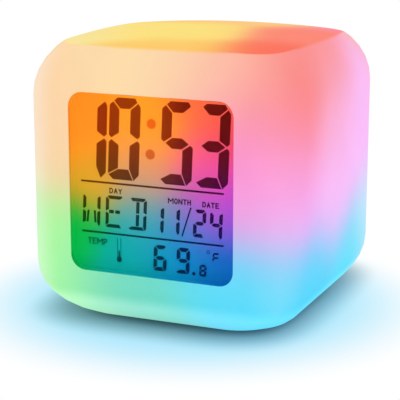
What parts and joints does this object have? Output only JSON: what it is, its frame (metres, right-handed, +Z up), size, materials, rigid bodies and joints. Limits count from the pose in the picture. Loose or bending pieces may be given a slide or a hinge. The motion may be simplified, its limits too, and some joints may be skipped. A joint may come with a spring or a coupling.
{
  "type": "night light alarm clock",
  "caption": "Milky rounded cube that glows in changing colours, with a square liquid-crystal display in front and buttons, light switch and battery door behind.",
  "frame": {"origin": "under the middle of the cube, on the surface it stands on", "axes": "+Z up, the display faces -Y, +X to the right as the display is read"},
  "size_m": [0.079, 0.079, 0.079],
  "materials": {
    "milky_shell": "milky translucent, lit from inside in many colours",
    "clear_lens": "clear, polished",
    "polariser_film": "smoky film",
    "lcd_glass": "clear glass",
    "white_sheet": "milky sheet",
    "white_plastic": "fine satin moulding",
    "button_plastic": "satin",
    "screw_steel": "zinc plated",
    "ribbon_film": "flexible film with printed tracks",
    "cell_jacket": "printed jacket, bare",
    "nickel_plate": "nickel plated",
    "board_resin": "lacquered board",
    "led_resin": "white package",
    "black_resin": "cast resin",
    "black_plastic": "moulded"
  },
  "bodies": {
    "clock": {"diffuser_shell": "milky_shell", "display_lens": "clear_lens", "front_polariser": "polariser_film", "rear_polariser": "polariser_film", "lcd_front_glass": "lcd_glass", "lcd_rear_glass": "lcd_glass", "backlight_diffuser": "white_sheet", "lcd_frame": "white_plastic", "lcd_frame_screws": "screw_steel", "cover_screws": "screw_steel", "board_screws": "screw_steel", "lcd_ribbon": "ribbon_film", "rear_cover": "white_plastic", "battery_cell_1": "cell_jacket", "battery_cell_2": "cell_jacket", "battery_cell_3": "cell_jacket", "positive_contact": "nickel_plate", "negative_contact": "nickel_plate", "left_link_contact": "nickel_plate", "right_link_contact": "nickel_plate", "battery_springs": "nickel_plate", "main_board": "board_resin", "rgb_leds": "led_resin", "clock_chip": "black_resin", "temperature_sensor": "black_resin", "quartz_crystal": "nickel_plate", "buzzer": "black_plastic", "tact_switches": "black_plastic", "switch_body": "nickel_plate"},
    "mode_button": {"mode_button": "button_plastic", "mode_plunger": "black_plastic"},
    "set_button": {"set_button": "button_plastic", "set_plunger": "black_plastic"},
    "up_button": {"up_button": "button_plastic", "up_plunger": "black_plastic"},
    "down_button": {"down_button": "button_plastic", "down_plunger": "black_plastic"},
    "snooze_button": {"snooze_button": "button_plastic", "snooze_plunger": "black_plastic"},
    "light_switch": {"light_switch_knob": "button_plastic", "switch_lever": "black_plastic"},
    "battery_door": {"battery_door": "white_plastic"}
  },
  "joints": [
    {"name": "mode_press", "type": "slide", "parent": "clock", "child": "mode_button", "axis": [0, -1, 0], "range_m": [0, 0.0005], "stiffness_N_per_m": 2000},
    {"name": "set_press", "type": "slide", "parent": "clock", "child": "set_button", "axis": [0, -1, 0], "range_m": [0, 0.0005], "stiffness_N_per_m": 2000},
    {"name": "up_press", "type": "slide", "parent": "clock", "child": "up_button", "axis": [0, -1, 0], "range_m": [0, 0.0005], "stiffness_N_per_m": 2000},
    {"name": "down_press", "type": "slide", "parent": "clock", "child": "down_button", "axis": [0, -1, 0], "range_m": [0, 0.0005], "stiffness_N_per_m": 2000},
    {"name": "snooze_press", "type": "slide", "parent": "clock", "child": "snooze_button", "axis": [0, -1, 0], "range_m": [0, 0.0005], "stiffness_N_per_m": 2000},
    {"name": "light_switch_slide", "type": "slide", "parent": "clock", "child": "light_switch", "axis": [1, 0, 0], "range_m": [0, 0.002]},
    {"name": "battery_door_hinge", "type": "hinge", "parent": "clock", "child": "battery_door", "pos_m": [0, 0.037, 0.0189], "axis": [-1, 0, 0], "range_deg": [0, 60]}
  ]
}
